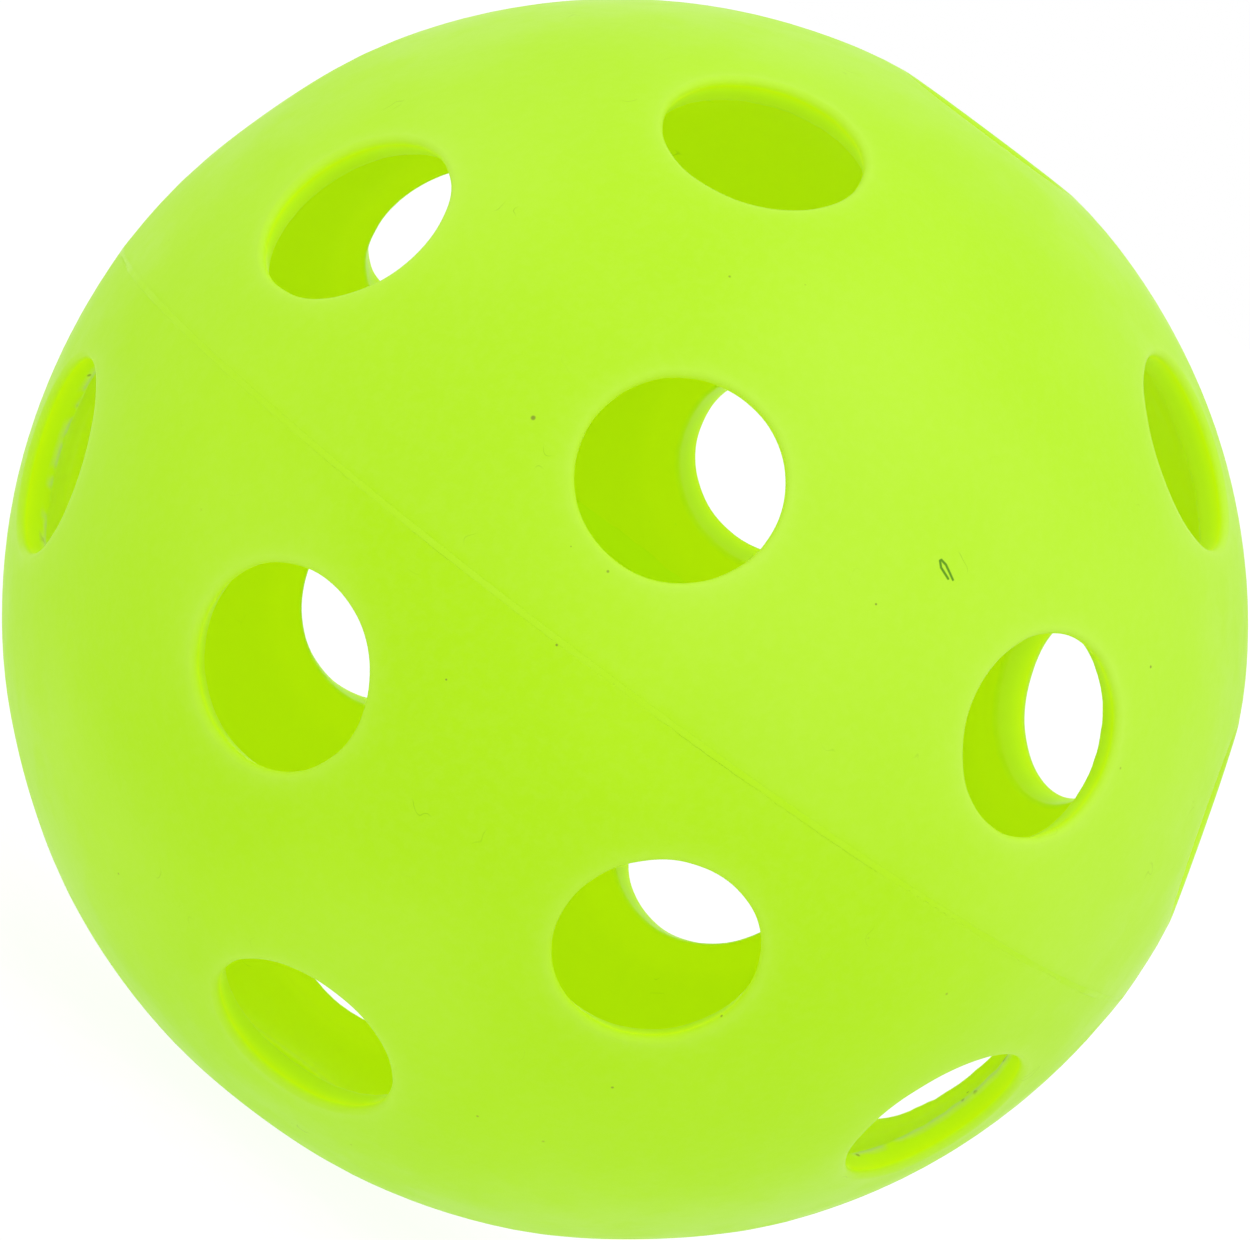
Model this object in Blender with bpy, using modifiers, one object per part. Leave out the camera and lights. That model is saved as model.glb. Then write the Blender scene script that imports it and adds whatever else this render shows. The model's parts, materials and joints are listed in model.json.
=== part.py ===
"""A pickleball ball: two identical perforated half shells, joined by a weld bead round the equator.

Lengths are in metres and angles in degrees. The origin is the ball's centre, and +Z runs out through the
hole at the pole of the north half. -Y is the front, and it points at a hole of that half's ring of eight.
"""

import math

import bpy
from mathutils import Vector

# The moulding
BALL_DIAMETER = 0.0740
POLE_FLATTENING = 0.0004  # each pole lies this much nearer the centre than the equator does
WALL = 0.0018

# The holes: one at the pole, four round it and eight nearer the equator
HOLE_DIAMETER = 0.0118  # at the narrowest, just under the rounded outer rim
HOLE_DRAFT = 21.0  # the hole's wall leans out from its axis at this angle, so the hole is wider inside
RIM_ROUNDING = 0.0003
FOUR_RING_LATITUDE = 51.5
EIGHT_RING_LATITUDE = 17.8
FOUR_RING_OFFSET = 22.5  # the four stand over the gaps between the eight

# The weld
WELD_THICKNESS = 0.0006
WELD_FLASH = 0.0005  # how far the melt stands proud of the inner wall
CLEARANCE = 0.0003
SOUTH_HALF_TURN = 70.0  # how far the south half is turned about +Z from the north half

# How finely the round shapes are faceted
ROUND_STEPS = 48
HOLE_STEPS = 24
SHELL_ARC_STEPS = 12
ROUNDING_STEPS = 4

CUTTER_OVERRUN = 0.0030
RIM_LEAVING_SLOPE = 30.0  # the plug leaves the ball's skin at this slope, so that the cut is clean
MERGE_DISTANCE = 0.00001

EQUATOR_RADIUS = BALL_DIAMETER / 2
HOLE_RADIUS = HOLE_DIAMETER / 2
SHELL_EDGE_HEIGHT = WELD_THICKNESS / 2 + CLEARANCE

LIME = (0.51, 0.92, 0.035)
PALE_LIME = (0.56, 0.93, 0.09)


def clear_scene():
    for old in list(bpy.data.objects):
        bpy.data.objects.remove(old, do_unlink=True)


def new_collection(name, parent):
    collection = bpy.data.collections.new(name)
    parent.children.link(collection)
    return collection


def plastic(name, colour, roughness):
    material = bpy.data.materials.new(name)
    material.use_nodes = True
    shader = material.node_tree.nodes["Principled BSDF"]
    shader.inputs["Base Color"].default_value = (*colour, 1.0)
    shader.inputs["Roughness"].default_value = roughness
    shader.inputs["Metallic"].default_value = 0.0
    material.diffuse_color = (*colour, 1.0)
    return material


def skin_radius(latitude):
    """How far the ball's outer skin lies from its centre, at a latitude in radians."""
    return EQUATOR_RADIUS - POLE_FLATTENING * math.sin(latitude) ** 4


def arc(centre_x, centre_z, radius, start, end, steps):
    """Points (x, z) on an arc, from one angle in degrees to another."""
    points = []
    for step in range(steps + 1):
        angle = math.radians(start + (end - start) * step / steps)
        points.append((centre_x + radius * math.cos(angle), centre_z + radius * math.sin(angle)))
    return points


def turned(name, outline, steps, collection, closed):
    """An outline in the XZ plane, turned about Z. It runs down the outer side first."""
    mesh = bpy.data.meshes.new(name)
    edges = [(index, index + 1) for index in range(len(outline) - 1)]
    if closed:
        edges.append((len(outline) - 1, 0))
    mesh.from_pydata([(x, 0.0, z) for x, z in outline], edges, [])
    piece = bpy.data.objects.new(name, mesh)
    collection.objects.link(piece)
    screw = piece.modifiers.new("turn", "SCREW")
    screw.axis = "Z"
    screw.angle = math.tau
    screw.steps = steps
    screw.render_steps = steps
    screw.use_merge_vertices = True
    screw.merge_threshold = MERGE_DISTANCE
    screw.use_smooth_shade = True
    return piece


def half_shell_outline():
    """Down the outer skin from the pole to the weld, then back up the inner skin."""
    edge_latitude = math.asin(SHELL_EDGE_HEIGHT / EQUATOR_RADIUS)
    outer = []
    inner = []
    for step in range(SHELL_ARC_STEPS + 1):
        latitude = math.pi / 2 + (edge_latitude - math.pi / 2) * step / SHELL_ARC_STEPS
        radius = skin_radius(latitude)
        outer.append((radius * math.cos(latitude), radius * math.sin(latitude)))
        inner.append(((radius - WALL) * math.cos(latitude), (radius - WALL) * math.sin(latitude)))
    inner[-1] = (inner[-1][0], SHELL_EDGE_HEIGHT)
    outer[0] = (0.0, outer[0][1])
    inner[0] = (0.0, inner[0][1])
    return outer + inner[::-1]


def hole_plug_outline(latitude):
    """A plug along +Z for the wall at a latitude in radians. Its hole has a rounded outer rim and widens inwards."""
    skin = skin_radius(latitude)
    rounding_x = HOLE_RADIUS + RIM_ROUNDING
    rounding_z = math.sqrt((skin - RIM_ROUNDING) ** 2 - rounding_x**2)
    first = 90 + RIM_LEAVING_SLOPE
    rounding = arc(rounding_x, rounding_z, RIM_ROUNDING, first, 180 + HOLE_DRAFT, ROUNDING_STEPS)
    flare_x, flare_z = rounding[0]
    slope = math.radians(RIM_LEAVING_SLOPE)
    flare_x += CUTTER_OVERRUN * math.cos(slope)
    flare_z += CUTTER_OVERRUN * math.sin(slope)
    top = skin + CUTTER_OVERRUN
    wall_x, wall_z = rounding[-1]
    bottom = skin - WALL - CUTTER_OVERRUN
    bottom_x = wall_x + (wall_z - bottom) * math.tan(math.radians(HOLE_DRAFT))
    return [(0.0, top), (flare_x, top), (flare_x, flare_z), *rounding, (bottom_x, bottom), (0.0, bottom)]


def hole_directions():
    """(latitude, longitude) in degrees of each hole of one half."""
    directions = [(90.0, 0.0)]
    directions += [(FOUR_RING_LATITUDE, 90.0 * index - FOUR_RING_OFFSET) for index in range(4)]
    directions += [(EIGHT_RING_LATITUDE, 45.0 * index) for index in range(8)]
    return directions


def add_hole_plugs(half_name, frame, collection):
    for index, (latitude, longitude) in enumerate(hole_directions(), start=1):
        north = math.radians(latitude)
        east = math.radians(longitude)
        outline = hole_plug_outline(north)
        plug = turned(f"{half_name}_hole_plug_{index:02d}", outline, HOLE_STEPS, collection, closed=False)
        outwards = Vector((math.cos(north) * math.cos(east), math.cos(north) * math.sin(east), math.sin(north)))
        plug.rotation_mode = "QUATERNION"
        plug.rotation_quaternion = outwards.to_track_quat("Z", "Y")
        plug.parent = frame
        plug.display_type = "WIRE"
        plug.hide_render = True


def add_half_shell(name, rotation, ball, cutters, material):
    """One moulded half with its thirteen holes, turned as a whole by its parent empty."""
    frame = bpy.data.objects.new(f"{name}_frame", None)
    frame.rotation_euler = rotation
    frame.empty_display_size = EQUATOR_RADIUS
    ball.objects.link(frame)
    shell = turned(name, half_shell_outline(), ROUND_STEPS, ball, closed=False)
    shell.parent = frame
    shell.data.materials.append(material)
    plugs = new_collection(f"{name}_hole_plugs", cutters)
    plugs.hide_render = True
    add_hole_plugs(name, frame, plugs)
    holes = shell.modifiers.new("holes", "BOOLEAN")
    holes.operation = "DIFFERENCE"
    holes.solver = "EXACT"
    holes.operand_type = "COLLECTION"
    holes.collection = plugs
    normals = shell.modifiers.new("even_shading", "WEIGHTED_NORMAL")
    normals.keep_sharp = True
    return shell


def add_weld_bead(ball, material):
    """The ring of melted plastic between the halves: flush outside, and a rounded flash ridge inside."""
    nose = WELD_THICKNESS / 2
    inner_radius = EQUATOR_RADIUS - WALL - WELD_FLASH
    outer_nose = arc(EQUATOR_RADIUS - nose, 0.0, nose, 90, -90, ROUNDING_STEPS)
    inner_nose = arc(inner_radius + nose, 0.0, nose, 270, 90, ROUNDING_STEPS)
    bead = turned("weld_bead", outer_nose + inner_nose, ROUND_STEPS, ball, closed=True)
    bead.data.materials.append(material)
    return bead


def main():
    clear_scene()
    ball = new_collection("pickleball_ball", bpy.context.scene.collection)
    cutters = new_collection("cutters", bpy.context.scene.collection)
    cutters.hide_render = True
    moulded = plastic("lime_moulded_plastic", LIME, 0.5)
    melted = plastic("weld_plastic", PALE_LIME, 0.4)
    add_half_shell("north_half_shell", (0.0, 0.0, 0.0), ball, cutters, moulded)
    turned_over = (math.pi, 0.0, math.radians(SOUTH_HALF_TURN))
    add_half_shell("south_half_shell", turned_over, ball, cutters, moulded)
    add_weld_bead(ball, melted)


main()
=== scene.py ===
"""The looks of the pickleball ball: two finely meshed halves and the weld bead between them.

Everything is built in the frame of the CAD model, in metres: +Z runs out through the hole at the
north pole, and the front is towards -Y.
"""

import json
import math

import bpy
from mathutils import Matrix, Vector, noise
from mathutils.geometry import delaunay_2d_cdt


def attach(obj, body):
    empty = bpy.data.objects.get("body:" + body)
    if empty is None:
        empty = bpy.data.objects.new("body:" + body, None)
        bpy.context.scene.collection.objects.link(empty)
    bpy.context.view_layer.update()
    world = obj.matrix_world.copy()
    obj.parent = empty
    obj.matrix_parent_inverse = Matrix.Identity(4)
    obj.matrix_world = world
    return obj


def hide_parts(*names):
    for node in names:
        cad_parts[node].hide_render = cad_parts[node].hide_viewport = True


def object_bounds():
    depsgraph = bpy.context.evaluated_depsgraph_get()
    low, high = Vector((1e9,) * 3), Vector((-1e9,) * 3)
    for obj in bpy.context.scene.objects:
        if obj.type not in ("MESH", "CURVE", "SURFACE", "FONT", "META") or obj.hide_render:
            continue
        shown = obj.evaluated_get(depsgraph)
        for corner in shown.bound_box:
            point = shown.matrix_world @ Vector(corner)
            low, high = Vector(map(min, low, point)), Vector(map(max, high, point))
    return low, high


# The moulding, as in the CAD model
POLE_FLATTENING = 0.0004
WALL = 0.0018
HOLE_RADIUS = 0.0059
HOLE_DRAFT = math.radians(21.0)  # how far the wall leans, so that the hole is wider inside

# The finer shape of the holes
OUTER_ROUNDING = 0.00036
RIM_WOBBLE = 0.00005  # how far the moulded rims stray from a true circle
DISH_DEPTH = 0.00007  # the skin sinks a little round each hole
DISH_REACH = 0.0014
LIP_HEIGHT = 0.00020  # each hole's inner edge stands this far into the hollow
LIP_ROUNDING = 0.00050
LIP_RAGGEDNESS = 0.00006
HOLE_WIDENING = 0.0026  # along the skin, from the outer rim to the foot of the inner lip
WIDENING_REACH = 0.0048

# Which parts of the holes get a painted glow, are painted paler or carry a burr with a painted
# highlight, as shares from 0 to 1
RIM_HALO_REACH = 0.0006  # how far the painted glow that pales a rim spreads over the outer skin, in metres
INNER_HALO_REACH = 0.0020  # how far the painted glow of a lip spreads over the inner skin, in metres
ROUNDING_GLOW_POWER = 2.6  # the painted glow of the wall starts late on the rounding above it
WALL_FADE = 0.80  # how much of its painted glow a wall loses on its way in
# Burred holes: a painted highlight lies along their burrs, and their walls lose less of their
# painted glow.
BURRED_WALL_FADE = 0.45
BURRED_HOLES = ((-17.8, -155.0), (-17.8, -20.0))  # latitude and longitude, in degrees
SAME_HOLE_COSINE = 0.99
BURR_HIGHLIGHT_SHARES = (0.4, 0.8, 1.0, 1.0, 0.8, 0.4)  # across the burr's painted highlight, from the last ring of the wall on

# The skin near the weld swells by a hair, which the light picks out
WELD_SWELL = 0.00005
WELD_SWELL_REACH = 0.0022
SINK_DEPTH = 0.000012  # the skin's slow moulding waves

# The weld
JOINT_HALF_GAP = 0.00004
BEAD_HALF_WIDTH = 0.00020
BEAD_PROUD = 0.000010
BEAD_SUNK = 0.000008
PROUD_SIDE = math.radians(-103.0)  # the side of the ball on which the bead stands proudest
PROUD_SHARPNESS = 24
WEB_HALF_WIDTH = 0.00003
CAP_STEPS = 6
FLASH_STEPS = 10
FLASH_LOW = -0.00040  # the inner flash lies over the north half's side of the joint
FLASH_TOP = 0.00165
FLASH_HEIGHT = 0.00008

# How finely the pieces are meshed. A ring is (distance along the skin, points)
SKIN_SPACING = 0.00115
RIM_SEGMENTS = 96
RIM_RINGS = ((0.00035, 96), (0.00080, 80), (0.00145, 64))
EQUATOR_RINGS = ((0.0, 288), (0.00022, 288), (0.00065, 240), (0.00130, 216))
OUTER_ARC_STEPS = 7
WALL_SHARES = (0.35, 0.70, 0.92)  # how far down the hole's wall its rings lie
LIP_ARC_STEPS = 8
LIP_FOOT_STEPS = 6
BEAD_SEGMENTS = 480

# The photograph's view: angles in degrees, the lens and the sensor in millimetres
CAMERA_AZIMUTH = 3.71
CAMERA_ELEVATION = 4.86
CAMERA_ROLL = 36.85
CAMERA_DISTANCE = 0.5716
CAMERA_LENS = 277.45
SENSOR_WIDTH = 36.0

# The studio
FLOOR_SIZE = 6.0
SOFTBOX_DISTANCE = 0.9
SOFTBOX_SIZE = 0.7
SOFTBOX_POWER = 1.4


# ---------------------------------------------------------------- the moulded halves


def skin_radius(direction):
    """How far the outer skin lies from the ball's centre in a direction, given as a unit vector."""
    height = abs(direction.z)
    swell = WELD_SWELL * (math.exp(-height * equator_radius / WELD_SWELL_REACH) - 1.0)
    waves = SINK_DEPTH * noise.noise(direction * 5.0)
    return equator_radius - POLE_FLATTENING * height**4 + swell + waves


def hole_axes(half, turn):
    """Unit vectors out through the holes of a half, read from the frame's stated openings."""
    axes = []
    for opening in frame["record"]["physics"]["openings"]:
        if opening["name"].startswith(half):
            low, high = (Vector(corner) for corner in opening["box_m"])
            axes.append(turn @ ((low + high) / 2).normalized())
    return axes


def rim_distance(direction, axes):
    """How far along the skin the nearest hole's rim lies from a direction."""
    closest = max(direction.dot(axis) for axis in axes)
    distance = (math.acos(min(1.0, closest)) - rim_angle(equator_radius)) * equator_radius
    return max(0.0, distance)


def sunk_radius(direction, axes):
    """How far the outer skin lies from the centre in a direction, with the dish round each hole."""
    dish = DISH_DEPTH * math.exp(-((rim_distance(direction, axes) / DISH_REACH) ** 2))
    return skin_radius(direction) - dish


def nearness(direction, axes, reach):
    """1 at a hole's rim, falling away from it along the skin."""
    return math.exp(-rim_distance(direction, axes) / reach)


def across(axis):
    """Two unit vectors square to an axis and to each other."""
    side = axis.orthogonal().normalized()
    return side, axis.cross(side)


def around(axis, angular_radius, turn):
    """The unit vector at an angle from the axis, at a turn about it."""
    side, other = across(axis)
    outwards = side * math.cos(turn) + other * math.sin(turn)
    return axis * math.cos(angular_radius) + outwards * math.sin(angular_radius)


def rim_angle(skin):
    """The angle from a hole's axis at which the skin ends and the rim's rounding starts."""
    return math.asin((HOLE_RADIUS + OUTER_ROUNDING) / (skin - OUTER_ROUNDING))


def flat(direction):
    """A direction's place on the stereographic map from the far pole."""
    return Vector((direction.x, direction.y)) / (1.0 + direction.z)


def skin_directions(axes, edge_height):
    """Unit vectors all over a half, and the loops of them along its hole rims and its weld."""
    directions = []
    loops = []
    rim = rim_angle(equator_radius)
    for axis in axes:
        for distance, points in ((0.0, RIM_SEGMENTS), *RIM_RINGS):
            angle = rim + distance / equator_radius
            first = len(directions)
            turns = [math.tau * index / points for index in range(points)]
            directions += [around(axis, angle, turn) for turn in turns]
            if distance == 0.0:
                loops.append(list(range(first, first + points)))
    for rise, points in EQUATOR_RINGS:
        height = (edge_height + rise) / equator_radius
        level = math.sqrt(1.0 - height**2)
        first = len(directions)
        for index in range(points):
            turn = math.tau * index / points
            directions.append(Vector((level * math.cos(turn), level * math.sin(turn), height)))
        if rise == 0.0:
            loops.append(list(range(first, first + points)))
    directions += open_skin(axes, rim, edge_height)
    return directions, loops


def open_skin(axes, rim, edge_height):
    """Evenly spread unit vectors between the rings, on a golden spiral."""
    clear_angle = rim + (RIM_RINGS[-1][0] + 0.7 * SKIN_SPACING) / equator_radius
    clear_cosine = math.cos(clear_angle)
    lowest = (edge_height + EQUATOR_RINGS[-1][0] + 0.7 * SKIN_SPACING) / equator_radius
    count = int(math.tau * (equator_radius / SKIN_SPACING) ** 2)
    golden = math.pi * (3.0 - math.sqrt(5.0))
    spread = []
    for index in range(count):
        height = 1.0 - (index + 0.5) / count
        level = math.sqrt(1.0 - height**2)
        turn = golden * index
        direction = Vector((level * math.cos(turn), level * math.sin(turn), height))
        if height > lowest and all(direction.dot(axis) < clear_cosine for axis in axes):
            spread.append(direction)
    return spread


def skin_triangles(directions, loops):
    """Triangles of neighbouring directions that leave the holes open, turned to face outwards."""
    points = [flat(direction) for direction in directions]
    edges = [(loop[index - 1], loop[index]) for loop in loops for index in range(len(loop))]
    _, _, faces, sources, _, _ = delaunay_2d_cdt(points, edges, [], 0, 1e-9)
    hole_of = {index: number for number, loop in enumerate(loops[:-1]) for index in loop}
    triangles = []
    for face in faces:
        corners = [sources[vertex][0] for vertex in face]
        holes = {hole_of.get(corner, -1) for corner in corners}
        if len(holes) == 1 and -1 not in holes:
            continue
        a, b, c = (directions[corner] for corner in corners)
        if (b - a).cross(c - a).dot(a) < 0.0:
            corners.reverse()
        triangles.append(corners)
    return triangles


def arc(centre, radius, start, end, steps):
    """Points on an arc from one angle to another."""
    points = []
    for step in range(steps + 1):
        angle = start + (end - start) * step / steps
        points.append(centre + Vector((math.cos(angle), math.sin(angle))) * radius)
    return points


def rim_profile(axis, turn):
    """Points over the rounded rim, down the leaning wall and over the lip, from skin to skin."""
    side, other = across(axis)
    outwards = side * math.cos(turn) + other * math.sin(turn)
    rim = rim_angle(equator_radius)
    skin = skin_radius(around(axis, rim, turn)) - DISH_DEPTH
    wobble = RIM_WOBBLE * noise.noise((outwards + axis) * 3.0)
    offset = HOLE_RADIUS + OUTER_ROUNDING + wobble
    centre = Vector((offset, math.sqrt((skin - OUTER_ROUNDING) ** 2 - offset**2)))
    skin_angle = math.atan2(centre.y, centre.x)
    wall_angle = math.pi + HOLE_DRAFT
    rounding = arc(centre, OUTER_ROUNDING, skin_angle, wall_angle, OUTER_ARC_STEPS)
    lip = LIP_HEIGHT + LIP_RAGGEDNESS * noise.noise((outwards + axis) * 14.0)
    down = Vector((math.sin(HOLE_DRAFT), -math.cos(HOLE_DRAFT)))
    start = rounding[-1] + Vector((math.cos(HOLE_DRAFT), math.sin(HOLE_DRAFT))) * LIP_ROUNDING
    towards = start.dot(down)
    crest = skin - WALL - lip
    drop = -towards - math.sqrt(towards**2 - start.length_squared + (crest + LIP_ROUNDING) ** 2)
    centre = start + down * drop
    crest_angle = math.pi + math.atan2(centre.y, centre.x)
    nose = arc(centre, LIP_ROUNDING, wall_angle, crest_angle, LIP_ARC_STEPS)
    wall = [rounding[-1].lerp(nose[0], share) for share in WALL_SHARES]
    points = [outwards * point.x + axis * point.y for point in (*rounding, *wall, *nose)]
    first = math.atan2(centre.x, centre.y)
    last = rim + HOLE_WIDENING / equator_radius
    for step in range(1, LIP_FOOT_STEPS + 1):
        share = step / LIP_FOOT_STEPS
        fall = lip * (0.5 - 0.5 * math.cos(math.pi * share))
        points.append(around(axis, first + (last - first) * share, turn) * (crest + fall))
    return points


def rim_marks(burred):
    """How far inside each ring of a rim lies, and its shares of the wall's painted glow and of the
    painted highlight on a burred inner edge.
    """
    fade = BURRED_WALL_FADE if burred else WALL_FADE
    arc_shares = [step / LIP_ARC_STEPS for step in range(LIP_ARC_STEPS + 1)]
    inside = [0.0] * (OUTER_ARC_STEPS + 1)
    inside += [0.5 * share for share in WALL_SHARES]
    inside += [0.5 + 0.5 * share for share in arc_shares]
    inside += [1.0] * LIP_FOOT_STEPS
    glow = [(step / OUTER_ARC_STEPS) ** ROUNDING_GLOW_POWER for step in range(OUTER_ARC_STEPS + 1)]
    glow += [1.0 - fade * share for share in WALL_SHARES]
    glow += [(1.0 - fade) * (1.0 - share) for share in arc_shares]
    glow += [0.0] * LIP_FOOT_STEPS
    burr_highlight = [0.0] * len(inside)
    if burred:
        first = OUTER_ARC_STEPS + len(WALL_SHARES)
        burr_highlight[first : first + len(BURR_HIGHLIGHT_SHARES)] = BURR_HIGHLIGHT_SHARES
    return inside, glow, burr_highlight


def inner_direction(direction, axes):
    """A direction on the inner skin, moved away from the nearest hole, which is wider there."""
    axis = max(axes, key=direction.dot)
    angle = direction.angle(axis)
    distance = (angle - rim_angle(equator_radius)) * equator_radius
    if distance > WIDENING_REACH:
        return direction
    angle += HOLE_WIDENING * (1.0 - distance / WIDENING_REACH) / equator_radius
    sideways = (direction - axis * direction.dot(axis)).normalized()
    return axis * math.cos(angle) + sideways * math.sin(angle)


def half_mesh(name, half, turn):
    """One closed half: both skins over the same triangles, the hole rims and the weld face."""
    axes = hole_axes(half, turn)
    directions, loops = skin_directions(axes, JOINT_HALF_GAP)
    triangles = skin_triangles(directions, loops)
    total = len(directions)
    outer = [direction * sunk_radius(direction, axes) for direction in directions]
    moved = [inner_direction(direction, axes) for direction in directions]
    depths = [sunk_radius(direction, axes) - WALL for direction in directions]
    inner = [place * depth for place, depth in zip(moved, depths)]
    for index in loops[-1]:
        inner[index].z = outer[index].z
    vertices = outer + inner
    # near_rim, inside and wall mark where the material paints glow and lighter colours for light
    # coming through the thin plastic; inner_edge marks a burr's painted highlight.
    near_rim = [nearness(direction, axes, RIM_HALO_REACH) for direction in directions]
    near_rim += [nearness(direction, axes, INNER_HALO_REACH) for direction in directions]
    inside = [0.0] * total + [1.0] * total
    wall = [0.0] * (2 * total)
    inner_edge = [0.0] * (2 * total)
    faces = list(triangles)
    faces += [[corner + total for corner in reversed(triangle)] for triangle in triangles]
    back = turn.inverted()
    burred_axes = [skin_point(*place).normalized() for place in BURRED_HOLES]
    for axis, loop in zip(axes, loops):
        burred = any((back @ axis).dot(other) > SAME_HOLE_COSINE for other in burred_axes)
        inside_marks, wall_marks, edge_marks = rim_marks(burred)
        chains = []
        for position, index in enumerate(loop):
            profile = rim_profile(axis, math.tau * position / len(loop))
            vertices[index] = profile[0]
            vertices[index + total] = profile[-1]
            first = len(vertices)
            vertices += profile[1:-1]
            near_rim += [1.0] * (len(profile) - 2)
            inside += inside_marks[1:-1]
            wall += wall_marks[1:-1]
            inner_edge += edge_marks[1:-1]
            chains.append([index, *range(first, len(vertices)), index + total])
        faces += strips(chains)
    edge = [[index, index + total] for index in loops[-1]]
    faces += strips([edge[-position] for position in range(len(edge))])
    mesh = bpy.data.meshes.new(name)
    mesh.from_pydata([back @ vertex for vertex in vertices], [], faces)
    add_marks(mesh, near_rim=near_rim, inside=inside, wall=wall, inner_edge=inner_edge)
    return mesh


def add_marks(mesh, **marks):
    """Give a mesh the named values, one for each point, that its material reads."""
    for label, values in marks.items():
        mesh.attributes.new(label, "FLOAT", "POINT").data.foreach_set("value", values)


def strips(chains):
    """Quads between neighbouring chains of points that close into a ring."""
    faces = []
    for left, right in zip(chains, chains[1:] + chains[:1]):
        for step in range(len(left) - 1):
            faces.append([left[step], right[step], right[step + 1], left[step + 1]])
    return faces


def moulded_half(name, half, turn, node, material):
    mesh = half_mesh(name, half, turn)
    piece = bpy.data.objects.new(name, mesh)
    bpy.context.scene.collection.objects.link(piece)
    mesh.shade_smooth()
    mesh.materials.append(material)
    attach(piece, "root")
    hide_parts(node)


# ---------------------------------------------------------------- the weld bead


def prominence(turn):
    """How far the bead stands out at a turn about Z, from 0 to 1 on its proudest side."""
    return (0.5 + 0.5 * math.cos(turn - PROUD_SIDE)) ** PROUD_SHARPNESS


def bead_outline(turn):
    """The bead's section at a turn about Z, as (radius, height): outer cap, web and inner flash."""
    place = Vector((math.cos(turn), math.sin(turn), 0.0))
    skin = skin_radius(place)
    raggedness = 0.5 + 0.5 * noise.noise(place * 60.0)
    unevenness = 0.8 + 0.4 * noise.noise(place * 12.0)
    proud = BEAD_PROUD * (0.4 + 0.6 * prominence(turn)) * unevenness
    half_width = BEAD_HALF_WIDTH * (0.75 + 0.5 * raggedness)
    points = []
    for step in range(CAP_STEPS + 1):
        angle = math.pi * (0.5 - step / CAP_STEPS)
        radius = skin - BEAD_SUNK + (proud + BEAD_SUNK) * math.cos(angle)
        points.append((radius, half_width * math.sin(angle)))
    points.append((skin - 3 * BEAD_SUNK, -WEB_HALF_WIDTH))
    points.append((skin - WALL + BEAD_SUNK, -WEB_HALF_WIDTH))
    ridge = FLASH_HEIGHT * (0.9 + 0.35 * noise.noise(place * 9.0)) + BEAD_SUNK
    top = FLASH_TOP * (1.0 + 0.08 * noise.noise(place * 25.0))
    for step in range(FLASH_STEPS + 1):
        share = step / FLASH_STEPS
        height = FLASH_LOW + (top - FLASH_LOW) * share
        inner_skin = math.sqrt((skin - WALL) ** 2 - height**2)
        points.append((inner_skin + BEAD_SUNK - ridge * math.sin(math.pi * share), height))
    points.append((skin - WALL + 2 * BEAD_SUNK, top - BEAD_SUNK))
    points.append((skin - WALL + 2 * BEAD_SUNK, WEB_HALF_WIDTH))
    points.append((skin - 3 * BEAD_SUNK, WEB_HALF_WIDTH))
    return points


def weld_bead(material):
    vertices = []
    rings = []
    for segment in range(BEAD_SEGMENTS):
        turn = math.tau * segment / BEAD_SEGMENTS
        first = len(vertices)
        for radius, height in bead_outline(turn):
            vertices.append((radius * math.cos(turn), radius * math.sin(turn), height))
        rings.append(list(range(first, len(vertices))))
    faces = []
    for here, after in zip(rings, rings[1:] + rings[:1]):
        for index in range(len(here)):
            faces.append([here[index - 1], here[index], after[index], after[index - 1]])
    mesh = bpy.data.meshes.new("weld_bead_ring")
    mesh.from_pydata(vertices, [], faces)
    middle = equator_radius - WALL / 2
    inside = [1.0 if math.hypot(x, y) < middle else 0.0 for x, y, _ in vertices]
    proud = [prominence(math.atan2(y, x)) for x, y, _ in vertices]
    add_marks(mesh, inside=inside, proud=proud)
    mesh.shade_smooth()
    mesh.materials.append(material)
    piece = bpy.data.objects.new("weld_bead_ring", mesh)
    bpy.context.scene.collection.objects.link(piece)
    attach(piece, "root")
    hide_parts("weld_bead")


# ---------------------------------------------------------------- materials

LIME = (0.440, 0.808, 0.010)
DEEP_LIME = (0.425, 0.792, 0.006)
# The paler lime of random haze, of the weld bead and of painted light: a painted sheen on the north
# half and a painted glow by the rims.
PALE_LIME = (0.535, 0.840, 0.105)
INNER_LIME = (0.780, 0.945, 0.000)  # the light caught inside the ball is yellower and deeper
# Painted light: the hole walls are coloured brighter and yellower for the light that comes through
# the thin rims.
WALL_LIME = (0.640, 0.900, 0.001)
# Painted light: the inner flash of the weld, coloured like the light caught inside the ball.
FLASH_LIME = (0.740, 0.955, 0.000)
# A burr's pale painted highlight.
BURR_HIGHLIGHT_LIME = (0.610, 0.750, 0.320)
SPECK_BROWN = (0.160, 0.170, 0.030)
FIBRE_GREEN = (0.110, 0.300, 0.010)
# Painted glow: constant emissions on the inner skin, the lips and the walls stand in for light that
# comes through the thin plastic.
NO_GLOW = (0.0, 0.0, 0.0)
INNER_GLOW = (0.020, 0.051, 0.0)  # of the plastic that daylight reaches through the wall
LIP_GLOW = (0.042, 0.078, 0.0)
WALL_GLOW = (0.10, 0.15, 0.0)
PLASTIC_SPECULAR = 0.11
DARK_PAPER = (0.11, 0.11, 0.11)
PALE_PAPER = (0.13, 0.13, 0.13)
PAPER_GLOW = 0.90  # the floor is lit from below, like a light table

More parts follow.
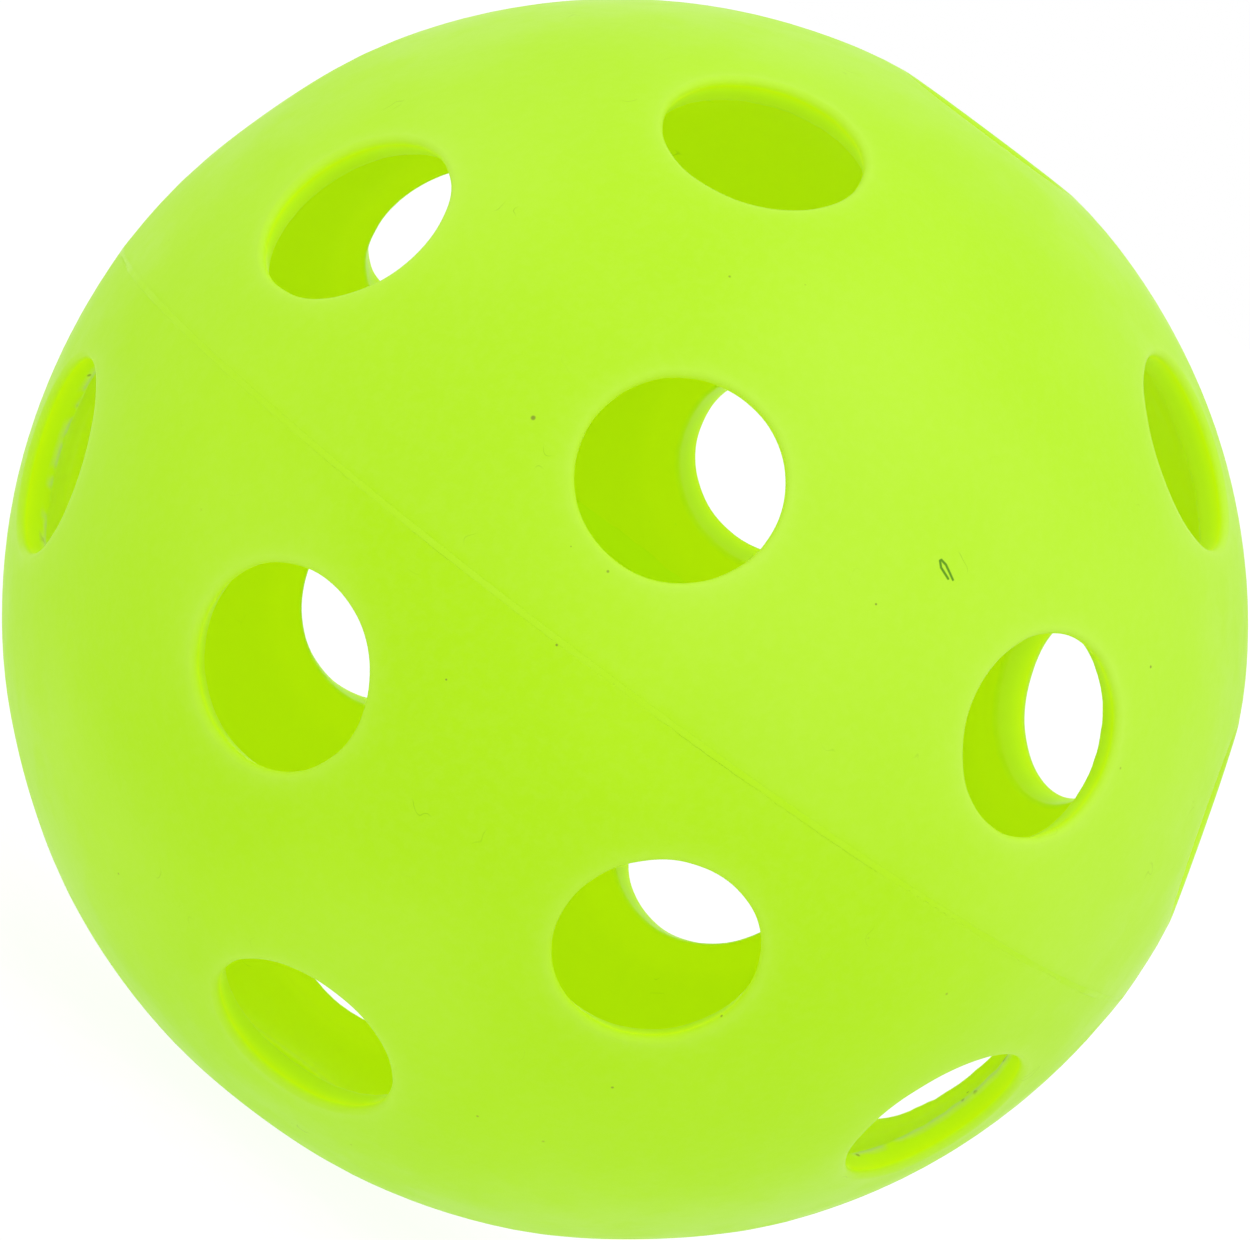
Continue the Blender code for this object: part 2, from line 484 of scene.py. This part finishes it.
# The larger specks, each as latitude and longitude in degrees, depth below the skin and radius
SPECKS = (
    (13.9, -103.9, 0.0, 0.00019),
    (7.1, -93.9, 0.0, 0.00008),
    (-0.4, -89.7, 0.0, 0.00010),
    (-8.7, -95.7, 0.0, 0.00008),
    (18.9, -68.5, 0.0, 0.00009),
    (28.5, -34.1, 0.0, 0.00012),
    (-19.4, -55.3, 0.0004, 0.00011),
    (52.6, -4.8, 0.0022, 0.00017),
    (-11.0, -163.1, 0.0017, 0.00018),
    (-27.1, -15.0, 0.0018, 0.00021),
    (-17.6, 9.3, 0.0019, 0.00016),
)
HAIR_PLACE = (25.6, -64.9)
HAIR_HEADING = math.radians(-31.0)  # the way the hair's legs run, from east towards north
HAIR_LENGTH = 0.00130
HAIR_SPREAD = 0.00036
HAIR_THICKNESS = 0.00011


class Nodes:
    """A material's node tree, with short calls to add and join its nodes."""

    def __init__(self, name):
        self.material = bpy.data.materials.new(name)
        self.material.use_nodes = True
        self.tree = self.material.node_tree
        self.shader = self.tree.nodes["Principled BSDF"]
        self.place = self.add("ShaderNodeTexCoord").outputs["Object"]

    def add(self, kind, **settings):
        node = self.tree.nodes.new(kind)
        for key, value in settings.items():
            setattr(node, key, value)
        return node

    def link(self, source, socket):
        self.tree.links.new(source, socket)

    def feed(self, socket, value):
        if isinstance(value, bpy.types.NodeSocket):
            self.link(value, socket)
        elif socket.type == "RGBA":
            socket.default_value = (*value, 1.0)
        else:
            socket.default_value = value

    def noise(self, scale, detail=2.0, roughness=0.5):
        node = self.add("ShaderNodeTexNoise")
        self.link(self.place, node.inputs["Vector"])
        node.inputs["Scale"].default_value = scale
        node.inputs["Detail"].default_value = detail
        node.inputs["Roughness"].default_value = roughness
        return node.outputs["Fac"]

    def maths(self, operation, *values, clamp=False):
        node = self.add("ShaderNodeMath", operation=operation, use_clamp=clamp)
        for socket, value in zip(node.inputs, values):
            self.feed(socket, value)
        return node.outputs["Value"]

    def between(self, value, low, high, to_low=0.0, to_high=1.0):
        """A value's smooth way from one limit to the other, stretched over the range it goes to."""
        node = self.add("ShaderNodeMapRange", interpolation_type="SMOOTHSTEP")
        self.feed(node.inputs["Value"], value)
        self.feed(node.inputs["From Min"], low)
        self.feed(node.inputs["From Max"], high)
        self.feed(node.inputs["To Min"], to_low)
        self.feed(node.inputs["To Max"], to_high)
        return node.outputs["Result"]

    def mix(self, share, first, second):
        node = self.add("ShaderNodeMix", data_type="RGBA")
        sockets = [socket for socket in node.inputs if socket.enabled]
        for socket, value in zip(sockets, (share, first, second)):
            self.feed(socket, value)
        return next(socket for socket in node.outputs if socket.enabled)

    def vectors(self, operation, *values):
        """A vector operation's output: a number where it measures, a vector otherwise."""
        node = self.add("ShaderNodeVectorMath", operation=operation)
        sockets = [socket for socket in node.inputs if socket.enabled]
        for socket, value in zip(sockets, values):
            self.feed(socket, value)
        return next(socket for socket in node.outputs if socket.enabled)

    def cells(self, scale):
        """The distance to the middle of each random cell, and a random number for each."""
        node = self.add("ShaderNodeTexVoronoi")
        self.link(self.place, node.inputs["Vector"])
        node.inputs["Scale"].default_value = scale
        separate = self.add("ShaderNodeSeparateColor")
        self.link(node.outputs["Color"], separate.inputs["Color"])
        return node.outputs["Distance"], separate.outputs["Red"]

    def near_line(self, start, end, width):
        """1 on the straight line between two points, falling to 0 at the given distance from it."""
        along = end - start
        offset = self.vectors("SUBTRACT", self.place, start)
        covered = self.vectors("DOT_PRODUCT", offset, along)
        share = self.maths("DIVIDE", covered, along.length_squared, clamp=True)
        distance = self.vectors("DISTANCE", offset, self.vectors("SCALE", along, share))
        return self.between(distance, 0.35 * width, width, 1.0, 0.0)

    def attribute(self, name):
        return self.add("ShaderNodeAttribute", attribute_name=name).outputs["Fac"]

    def bump(self, height, strength, distance, under=None):
        node = self.add("ShaderNodeBump")
        node.inputs["Strength"].default_value = strength
        node.inputs["Distance"].default_value = distance
        self.link(height, node.inputs["Height"])
        if under is not None:
            self.link(under, node.inputs["Normal"])
        return node.outputs["Normal"]


def skin_point(latitude, longitude, depth=0.0):
    """The point at a latitude and longitude in degrees, on the outer skin or a depth below it."""
    north = math.radians(latitude)
    east = math.radians(longitude)
    level = math.cos(north)
    direction = Vector((level * math.cos(east), level * math.sin(east), math.sin(north)))
    return direction * (skin_radius(direction) - depth)


def hair_points():
    """The corners of a fine hair that lies bent double on the skin."""
    bend = skin_point(*HAIR_PLACE)
    outwards = bend.normalized()
    east = Vector((0.0, 0.0, 1.0)).cross(outwards).normalized()
    north = outwards.cross(east)
    ahead = east * math.cos(HAIR_HEADING) + north * math.sin(HAIR_HEADING)
    aside = outwards.cross(ahead) * (HAIR_SPREAD / 2)
    first = ahead * HAIR_SPREAD
    return (
        bend + ahead * HAIR_LENGTH + aside,
        bend + first + aside,
        bend + aside * 0.3,
        bend - aside * 0.3,
        bend + first - aside,
        bend + ahead * HAIR_LENGTH * 0.85 - aside * 0.4,
    )


def dirt(nodes):
    """Where a hair lies, and where specks do: a few in their own places and fine ones at random."""
    points = hair_points()
    lines = [nodes.near_line(start, end, HAIR_THICKNESS) for start, end in zip(points, points[1:])]
    hair = lines[0]
    for line in lines[1:]:
        hair = nodes.maths("MAXIMUM", hair, line)
    specks = None
    for latitude, longitude, depth, size in SPECKS:
        middle = skin_point(latitude, longitude, depth)
        distance = nodes.vectors("DISTANCE", nodes.place, middle)
        speck = nodes.between(distance, 0.4 * size, size, 0.7, 0.0)
        specks = speck if specks is None else nodes.maths("MAXIMUM", specks, speck)
    distance, chance = nodes.cells(230.0)
    fine = nodes.between(distance, 0.010, 0.028, 1.0, 0.0)
    fine = nodes.maths("MULTIPLY", fine, nodes.between(chance, 0.3, 0.9, 0.1, 0.6))
    return hair, nodes.maths("MAXIMUM", specks, fine)


def fibres(nodes):
    """Short curved marks: parts of a noise's contour lines, kept inside scattered patches."""
    distance, chance = nodes.cells(190.0)
    patch = nodes.between(distance, 0.08, 0.16, 1.0, 0.0)
    contour = nodes.maths("ABSOLUTE", nodes.maths("SUBTRACT", nodes.noise(620.0, 1.0, 0.4), 0.5))
    line = nodes.between(contour, 0.003, 0.012, 1.0, 0.0)
    marks = nodes.maths("MULTIPLY", line, patch)
    return nodes.maths("MULTIPLY", marks, nodes.between(chance, 0.2, 0.8, 0.04, 0.30))


def moulded_plastic():
    """Satin lime polyethylene: clouded, with grain, scuffs and a little dirt; a painted glow pales
    the rims and lights the walls and the inside, and a painted sheen pales the north half.
    """
    nodes = Nodes("moulded_plastic")
    clouds = nodes.between(nodes.noise(55.0, 3.0), 0.35, 0.68)
    mottle = nodes.between(nodes.noise(1500.0, 3.0, 0.7), 0.35, 0.70)
    separate = nodes.add("ShaderNodeSeparateXYZ")
    nodes.link(nodes.place, separate.inputs["Vector"])
    # Painted sheen: the north half is painted paler all over, for the light falling brighter above
    # the weld.
    north = nodes.between(separate.outputs["Z"], 0.0, 0.0008)
    colour = nodes.mix(clouds, DEEP_LIME, LIME)
    haze = nodes.between(nodes.noise(38.0, 2.0), 0.40, 0.66)
    paleness = nodes.maths("MULTIPLY", haze, 0.14)
    paleness = nodes.maths("ADD", paleness, nodes.maths("MULTIPLY", mottle, 0.08))
    paleness = nodes.maths("ADD", paleness, nodes.maths("MULTIPLY", north, 0.09))
    # Painted glow: near the rims the outer skin is painted paler, and near the lips the inner skin
    # glows more, for light coming through the thin edges.
    rim = nodes.attribute("near_rim")
    paleness = nodes.maths("ADD", paleness, nodes.maths("MULTIPLY", rim, 0.24))
    colour = nodes.mix(paleness, colour, PALE_LIME)
    # Painted light: the inner skin and the walls take brighter, yellower colours for the light
    # caught inside the ball and coming through the walls.
    inside = nodes.attribute("inside")
    wall = nodes.attribute("wall")
    colour = nodes.mix(inside, colour, INNER_LIME)
    colour = nodes.mix(wall, colour, WALL_LIME)
    # Painted highlight: a pale line along the burr of some inner edges, with random grime flecks on
    # it.
    ragged = nodes.between(nodes.noise(420.0, 2.0), 0.42, 0.56)
    burr_highlight = nodes.maths("MULTIPLY", nodes.attribute("inner_edge"), ragged)
    colour = nodes.mix(burr_highlight, colour, BURR_HIGHLIGHT_LIME)
    grime = nodes.between(nodes.noise(900.0, 2.0), 0.60, 0.70, 0.0, 0.7)
    colour = nodes.mix(nodes.maths("MULTIPLY", burr_highlight, grime), colour, SPECK_BROWN)
    hair, specks = dirt(nodes)
    colour = nodes.mix(fibres(nodes), colour, FIBRE_GREEN)
    colour = nodes.mix(specks, colour, SPECK_BROWN)
    colour = nodes.mix(hair, colour, FIBRE_GREEN)
    nodes.link(colour, nodes.shader.inputs["Base Color"])
    # Painted glow: a constant emission on the walls and the inner skin, brighter by the lips.
    glow = nodes.mix(rim, INNER_GLOW, LIP_GLOW)
    glow = nodes.mix(wall, nodes.mix(inside, NO_GLOW, glow), WALL_GLOW)
    nodes.link(glow, nodes.shader.inputs["Emission Color"])
    nodes.shader.inputs["Emission Strength"].default_value = 1.0
    scuffs = nodes.between(nodes.noise(130.0, 4.0, 0.6), 0.3, 0.7)
    nodes.link(nodes.between(scuffs, 0.0, 1.0, 0.40, 0.52), nodes.shader.inputs["Roughness"])
    grain = nodes.bump(nodes.noise(4200.0, 2.0, 0.6), 0.25, 0.00002)
    nodes.link(nodes.bump(hair, 0.6, 0.00004, grain), nodes.shader.inputs["Normal"])
    nodes.shader.inputs["Specular IOR Level"].default_value = PLASTIC_SPECULAR
    return nodes.material


def weld_plastic():
    """The melted plastic of the bead: paler and smoother outside; inside, deeper in colour with a
    painted glow, for the light caught inside the ball.
    """
    nodes = Nodes("weld_plastic")
    streaks = nodes.between(nodes.noise(700.0, 4.0, 0.6), 0.35, 0.70)
    paleness = nodes.maths("MULTIPLY", nodes.attribute("proud"), 0.06)
    paleness = nodes.maths("ADD", paleness, nodes.maths("MULTIPLY", streaks, 0.08))
    colour = nodes.mix(paleness, LIME, PALE_LIME)
    # Painted light: the inner flash takes the colour and the glow of the light caught inside the
    # ball.
    inside = nodes.attribute("inside")
    colour = nodes.mix(inside, colour, FLASH_LIME)
    nodes.link(colour, nodes.shader.inputs["Base Color"])
    nodes.link(nodes.mix(inside, NO_GLOW, INNER_GLOW), nodes.shader.inputs["Emission Color"])
    nodes.shader.inputs["Emission Strength"].default_value = 1.0
    gloss = nodes.between(nodes.noise(500.0, 2.0), 0.3, 0.7, 0.35, 0.50)
    nodes.link(gloss, nodes.shader.inputs["Roughness"])
    nodes.link(nodes.bump(nodes.noise(1500.0, 3.0), 0.3, 0.00003), nodes.shader.inputs["Normal"])
    nodes.shader.inputs["Specular IOR Level"].default_value = PLASTIC_SPECULAR
    return nodes.material


def light_table():
    nodes = Nodes("light_table")
    speckle = nodes.between(nodes.noise(300.0, 2.0), 0.3, 0.7)
    nodes.link(nodes.mix(speckle, DARK_PAPER, PALE_PAPER), nodes.shader.inputs["Base Color"])
    nodes.shader.inputs["Roughness"].default_value = 0.9
    nodes.shader.inputs["Specular IOR Level"].default_value = 0.1
    nodes.shader.inputs["Emission Color"].default_value = (1.0, 1.0, 1.0, 1.0)
    nodes.shader.inputs["Emission Strength"].default_value = PAPER_GLOW
    return nodes.material


# ---------------------------------------------------------------- the studio


def add_floor(height):
    bpy.ops.mesh.primitive_plane_add(size=FLOOR_SIZE, location=(0.0, 0.0, height))
    floor = bpy.context.object
    floor.name = "floor"
    floor.data.materials.append(light_table())


def camera_axes():
    """The camera's right, up and back directions at the photograph's viewing angle."""
    azimuth = math.radians(CAMERA_AZIMUTH)
    elevation = math.radians(CAMERA_ELEVATION)
    level = math.cos(elevation)
    back = Vector((math.sin(azimuth) * level, -math.cos(azimuth) * level, math.sin(elevation)))
    right = Vector((0.0, 0.0, 1.0)).cross(back).normalized()
    up = back.cross(right)
    roll = math.radians(CAMERA_ROLL)
    rolled_right = right * math.cos(roll) + up * math.sin(roll)
    rolled_up = up * math.cos(roll) - right * math.sin(roll)
    return rolled_right, rolled_up, back


def add_camera():
    right, up, back = camera_axes()
    data = bpy.data.cameras.new("camera")
    data.lens = CAMERA_LENS
    data.sensor_width = SENSOR_WIDTH
    data.clip_start = 0.01
    data.clip_end = 50.0
    camera = bpy.data.objects.new("camera", data)
    turn = Matrix((right, up, back)).transposed().to_4x4()
    camera.matrix_world = Matrix.Translation(back * CAMERA_DISTANCE) @ turn
    bpy.context.scene.collection.objects.link(camera)
    bpy.context.scene.camera = camera


def add_softbox(name, direction):
    data = bpy.data.lights.new(name, "AREA")
    data.shape = "DISK"
    data.size = SOFTBOX_SIZE
    data.energy = SOFTBOX_POWER
    lamp = bpy.data.objects.new(name, data)
    lamp.location = direction.normalized() * SOFTBOX_DISTANCE
    lamp.rotation_mode = "QUATERNION"
    lamp.rotation_quaternion = direction.to_track_quat("Z", "Y")
    bpy.context.scene.collection.objects.link(lamp)


def light_studio():
    world = bpy.data.worlds.new("white_tent")
    world.use_nodes = True
    background = world.node_tree.nodes["Background"]
    background.inputs["Color"].default_value = (1.0, 1.0, 1.0, 1.0)
    background.inputs["Strength"].default_value = 1.0
    bpy.context.scene.world = world
    right, up, back = camera_axes()
    add_softbox("softbox_right", up * 0.9 + right * 0.8 + back * 0.8)
    bpy.context.scene.view_settings.view_transform = "Standard"


# ---------------------------------------------------------------- the whole scene

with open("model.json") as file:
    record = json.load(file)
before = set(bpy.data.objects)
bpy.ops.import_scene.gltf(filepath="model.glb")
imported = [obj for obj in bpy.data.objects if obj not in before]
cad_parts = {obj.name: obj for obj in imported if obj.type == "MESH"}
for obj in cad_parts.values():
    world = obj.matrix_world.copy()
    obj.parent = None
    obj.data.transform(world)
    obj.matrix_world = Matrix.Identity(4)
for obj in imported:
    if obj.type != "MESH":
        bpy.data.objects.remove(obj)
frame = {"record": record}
cad_low, cad_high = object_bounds()
equator_radius = (cad_high.x - cad_low.x) / 2

moulded = moulded_plastic()
upright = Matrix.Identity(3)
turned_over = Matrix.Rotation(math.pi, 3, "X")
moulded_half("north_half", "north", upright, "north_half_shell", moulded)
moulded_half("south_half", "south", turned_over, "south_half_shell", moulded)
weld_bead(weld_plastic())
add_floor(cad_low.z)
add_camera()
light_studio()
